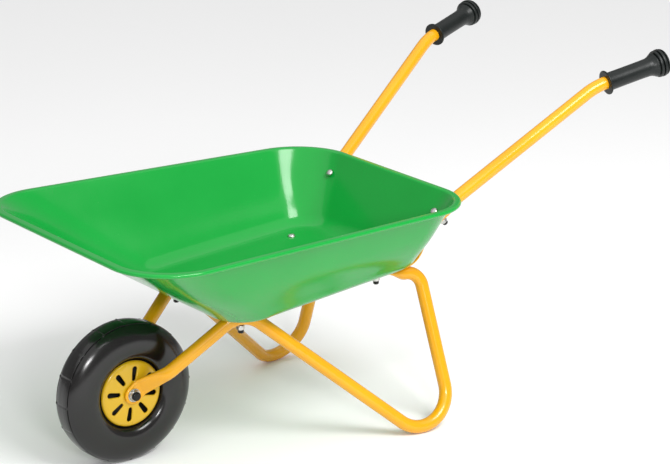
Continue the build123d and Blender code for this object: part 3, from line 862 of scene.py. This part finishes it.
def paint(name, base, dark, light, rough=(0.10, 0.20), coat=0.6, peel=0.00012, wave=0.0, scratch=0.25, spec=0.5):
    """Enamel: slow colour drift, fine dust, hairline scratches, orange peel and a slow waviness of the sheet."""
    m, nt, b = new_mat(name)
    co = coords(nt)
    L = nt.links
    n1 = tex(nt, "ShaderNodeTexNoise", Scale=7.0, Detail=5.0, Roughness=0.55)
    L.new(co, n1.inputs["Vector"])
    n2 = tex(nt, "ShaderNodeTexNoise", Scale=190.0, Detail=3.0, Roughness=0.7)
    L.new(co, n2.inputs["Vector"])
    c1 = mix(nt, ramp(nt, n1.outputs["Fac"], 0.36, 0.66, g3(0), g3(1)), dark, base)
    # hairlines
    mp = nt.nodes.new("ShaderNodeMapping")
    mp.inputs["Rotation"].default_value = (0.3, 0.5, 0.7)
    mp.inputs["Scale"].default_value = (14, 420, 60)
    L.new(co, mp.inputs["Vector"])
    n3 = tex(nt, "ShaderNodeTexNoise", Scale=1.0, Detail=6.0, Roughness=0.7)
    L.new(mp.outputs["Vector"], n3.inputs["Vector"])
    hair = ramp(nt, n3.outputs["Fac"], 0.66, 0.74, g3(0), g3(1))
    n4 = tex(nt, "ShaderNodeTexNoise", Scale=11.0, Detail=2.0)
    L.new(co, n4.inputs["Vector"])
    area = ramp(nt, n4.outputs["Fac"], 0.52, 0.66, g3(0), g3(scratch))
    hs = mathn(nt, "MULTIPLY", hair, area)
    c2 = mix(nt, hs, c1, light)
    dust = ramp(nt, n2.outputs["Fac"], 0.70, 0.82, g3(0), g3(0.10))
    c3 = mix(nt, dust, c2, light)
    L.new(c3, b.inputs["Base Color"])
    rr = ramp(nt, n1.outputs["Fac"], 0.3, 0.75, g3(rough[0]), g3(rough[1]))
    rr2 = mathn(nt, "ADD", rr, mathn(nt, "MULTIPLY", hs, 0.35))
    L.new(rr2, b.inputs["Roughness"])
    n5 = tex(nt, "ShaderNodeTexNoise", Scale=420.0, Detail=1.0)
    L.new(co, n5.inputs["Vector"])
    bp = nt.nodes.new("ShaderNodeBump")
    bp.inputs["Strength"].default_value = 0.5
    bp.inputs["Distance"].default_value = peel
    L.new(n5.outputs["Fac"], bp.inputs["Height"])
    last = bp
    if wave:
        n6 = tex(nt, "ShaderNodeTexNoise", Scale=13.0, Detail=1.5, Roughness=0.4)
        L.new(co, n6.inputs["Vector"])
        b2 = nt.nodes.new("ShaderNodeBump")
        b2.inputs["Strength"].default_value = 1.0
        b2.inputs["Distance"].default_value = wave
        L.new(n6.outputs["Fac"], b2.inputs["Height"])
        L.new(bp.outputs["Normal"], b2.inputs["Normal"])
        last = b2
    L.new(last.outputs["Normal"], b.inputs["Normal"])
    b.inputs["Coat Weight"].default_value = coat
    b.inputs["Coat Roughness"].default_value = 0.06
    b.inputs["Specular IOR Level"].default_value = spec
    return m


def plastic(name, base, light, rough=(0.30, 0.48), grain=900.0, depth=0.00012, spec=0.5, coat=0.0, blot=9.0):
    m, nt, b = new_mat(name)
    co = coords(nt)
    L = nt.links
    n1 = tex(nt, "ShaderNodeTexNoise", Scale=blot, Detail=6.0, Roughness=0.6)
    L.new(co, n1.inputs["Vector"])
    n2 = tex(nt, "ShaderNodeTexNoise", Scale=grain, Detail=2.0)
    L.new(co, n2.inputs["Vector"])
    n3 = tex(nt, "ShaderNodeTexNoise", Scale=60.0, Detail=5.0, Roughness=0.75)
    L.new(co, n3.inputs["Vector"])
    c1 = mix(nt, ramp(nt, n1.outputs["Fac"], 0.38, 0.68, g3(0), g3(1)), base, light)
    scuff = ramp(nt, n3.outputs["Fac"], 0.62, 0.80, g3(0), g3(0.22))
    c2 = mix(nt, scuff, c1, tuple(min(1, 2.6 * v) for v in light))
    L.new(c2, b.inputs["Base Color"])
    rr = mathn(nt, "ADD", ramp(nt, n1.outputs["Fac"], 0.3, 0.7, g3(rough[0]), g3(rough[1])), mathn(nt, "MULTIPLY", scuff, 0.5))
    L.new(rr, b.inputs["Roughness"])
    bp = nt.nodes.new("ShaderNodeBump")
    bp.inputs["Strength"].default_value = 0.55
    bp.inputs["Distance"].default_value = depth
    L.new(n2.outputs["Fac"], bp.inputs["Height"])
    L.new(bp.outputs["Normal"], b.inputs["Normal"])
    b.inputs["Specular IOR Level"].default_value = spec
    b.inputs["Coat Weight"].default_value = coat
    b.inputs["Coat Roughness"].default_value = 0.12
    return m


def zinc_mat():
    m, nt, b = new_mat("zinc_plate")
    co = coords(nt)
    L = nt.links
    n1 = tex(nt, "ShaderNodeTexNoise", Scale=260.0, Detail=4.0, Roughness=0.6)
    L.new(co, n1.inputs["Vector"])
    L.new(mix(nt, ramp(nt, n1.outputs["Fac"], 0.35, 0.7, g3(0), g3(1)), (0.42, 0.42, 0.40), (0.70, 0.70, 0.68)), b.inputs["Base Color"])
    L.new(ramp(nt, n1.outputs["Fac"], 0.3, 0.7, g3(0.22), g3(0.40)), b.inputs["Roughness"])
    b.inputs["Metallic"].default_value = 1.0
    bp = nt.nodes.new("ShaderNodeBump")
    bp.inputs["Strength"].default_value = 0.4
    bp.inputs["Distance"].default_value = 0.00008
    L.new(n1.outputs["Fac"], bp.inputs["Height"])
    L.new(bp.outputs["Normal"], b.inputs["Normal"])
    return m


GREEN = paint("tray_enamel", (0.004, 0.305, 0.039), (0.003, 0.285, 0.035), (0.30, 0.62, 0.33), rough=(0.12, 0.20), coat=0.15, spec=0.36, wave=0.0006, scratch=0.22)
YELLOW = paint("frame_enamel", (0.74, 0.345, 0.004), (0.70, 0.315, 0.003), (0.92, 0.72, 0.36), rough=(0.16, 0.26), coat=0.25, spec=0.40, scratch=0.30)
HUBY = paint("hub_enamel", (0.60, 0.36, 0.006), (0.55, 0.325, 0.005), (0.95, 0.82, 0.45), rough=(0.22, 0.32), coat=0.25, spec=0.40, scratch=0.25)
TYRE = plastic("tyre_compound", (0.0045, 0.0040, 0.0038), (0.0080, 0.0070, 0.0070), rough=(0.13, 0.22), spec=0.50, coat=0.0, depth=0.00004)
GRIP_M = plastic("grip_compound", (0.005, 0.007, 0.0065), (0.008, 0.0105, 0.010), rough=(0.32, 0.42), spec=0.32, blot=24.0)
CORE = plastic("core_compound", (0.008, 0.008, 0.008), (0.012, 0.012, 0.012))
CAPM = plastic("cap_gloss", (0.003, 0.003, 0.003), (0.005, 0.005, 0.005), rough=(0.14, 0.24), spec=0.28, coat=0.0, blot=80.0)
ZINC = zinc_mat()


def give(ob, mat):
    ob.data.materials.clear()
    ob.data.materials.append(mat)
    for pl in ob.data.polygons:
        pl.material_index = 0
    return ob


def put(ob, mat, slot, body, *nodes):
    give(ob, mat)
    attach(ob, body)
    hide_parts(*nodes)


# ------------------------------------------------------------------ build the pieces
put(build_tray(), GREEN, "tray_paint", "barrow", "tray")

leg = build_leg()
leg_r = mirror_copy(leg, "right_leg_sweep")
put(leg, YELLOW, "frame_paint", "barrow", "left_leg_tube")
put(leg_r, YELLOW, "frame_paint", "barrow", "right_leg_tube")
han = build_handle()
han_r = mirror_copy(han, "right_handle_sweep")
put(han, YELLOW, "frame_paint", "barrow", "left_handle_tube")
put(han_r, YELLOW, "frame_paint", "barrow", "right_handle_tube")
gr = build_grip()
gr_r = mirror_copy(gr, "right_grip_moulding")
put(gr, GRIP_M, "grip_plastic", "barrow", "left_grip")
put(gr_r, GRIP_M, "grip_plastic", "barrow", "right_grip")

put(build_tyre(), TYRE, "tyre_plastic", "wheel", "tyre")
disc = build_disc()
disc_r = mirror_copy(disc, "right_disc_pressing")
put(disc, HUBY, "hub_paint", "wheel", "left_hub_disc")
put(disc_r, HUBY, "hub_paint", "wheel", "right_hub_disc")

fast = build_fasteners()
for name, ob in fast.items():
    black = name in ("tray_bolt_caps", "axle_caps")
    put(ob, CAPM if black else ZINC, "cap_plastic" if black else "zinc", "barrow", name)


def paint_node(node, mat):
    o_ = NODES[node]
    if len(o_.material_slots) == 0:
        o_.data.materials.append(mat)
    for s_ in o_.material_slots:
        s_.link = "OBJECT"
        s_.material = mat


paint_node("hub_sleeve", CORE)
paint_node("left_bush", CORE)
paint_node("right_bush", CORE)
paint_node("axle", ZINC)

# ------------------------------------------------------------------ stage
fl = bpy.data.meshes.new("floor")
S = 14.0
fl.from_pydata([(-S, -S, 0), (S, -S, 0), (S, S, 0), (-S, S, 0)], [], [(0, 1, 2, 3)])
floor = bpy.data.objects.new("floor", fl)
bpy.context.scene.collection.objects.link(floor)
fm, fnt, fb = new_mat("floor_pale")
fb.inputs["Base Color"].default_value = (0.91, 0.91, 0.91, 1)
fb.inputs["Roughness"].default_value = 0.9
fb.inputs["Specular IOR Level"].default_value = 0.1
fl.materials.append(fm)

world = bpy.data.worlds.new("studio")
bpy.context.scene.world = world
world.use_nodes = True
wb = world.node_tree.nodes["Background"]
wb.inputs["Color"].default_value = (1, 1, 1, 1)
wb.inputs["Strength"].default_value = 0.38


def area(name, loc, target, sx, sy, power):
    ld = bpy.data.lights.new(name, "AREA")
    ld.shape = "RECTANGLE"
    ld.size, ld.size_y = sx, sy
    ld.energy = power
    o_ = bpy.data.objects.new(name, ld)
    o_.location = loc
    d = Vector(target) - Vector(loc)
    o_.rotation_mode = "QUATERNION"
    o_.rotation_quaternion = d.to_track_quat("-Z", "Y")
    bpy.context.scene.collection.objects.link(o_)
    return o_


sun_d = bpy.data.lights.new("overhead", "SUN")
sun_d.energy = 1.45
sun_d.angle = math.radians(105)
sun = bpy.data.objects.new("overhead", sun_d)
sun.rotation_mode = "QUATERNION"
sun.rotation_quaternion = Vector((-0.22, -0.10, -0.97)).to_track_quat("-Z", "Y")
sun.location = (0.5, 0.3, 3)
bpy.context.scene.collection.objects.link(sun)

# a wide softbox on the near side: the upright highlight in the tray's far rear corner
area("wide", (0.0, 1.58, 1.86), (-0.05, -0.16, 0.28), 1.02, 1.00, 41)
# a box level with the camera: the shoulder of the tyre and the tubes
area("front", (1.28, 2.58, 1.19), (0.40, 0.02, 0.15), 0.50, 0.30, 27)

cam_d = bpy.data.cameras.new("camera")
cam = bpy.data.objects.new("camera", cam_d)
bpy.context.scene.collection.objects.link(cam)
cam_d.sensor_width = 36.0
cam_d.lens = 126.47
cam_d.clip_start, cam_d.clip_end = 0.05, 60
_r = Vector((-0.7957, 0.6057, 0.0)).normalized()
_b = Vector((0.57692, 0.75790, 0.30459)).normalized()
_u = _b.cross(_r).normalized()
_r = _u.cross(_b).normalized()
cam.matrix_world = Matrix(((_r.x, _u.x, _b.x, 1.84412), (_r.y, _u.y, _b.y, 2.4370), (_r.z, _u.z, _b.z, 1.2226), (0, 0, 0, 1)))
bpy.context.scene.camera = cam
bpy.context.scene.view_settings.view_transform = "Standard"
bpy.context.scene.view_settings.look = "None"
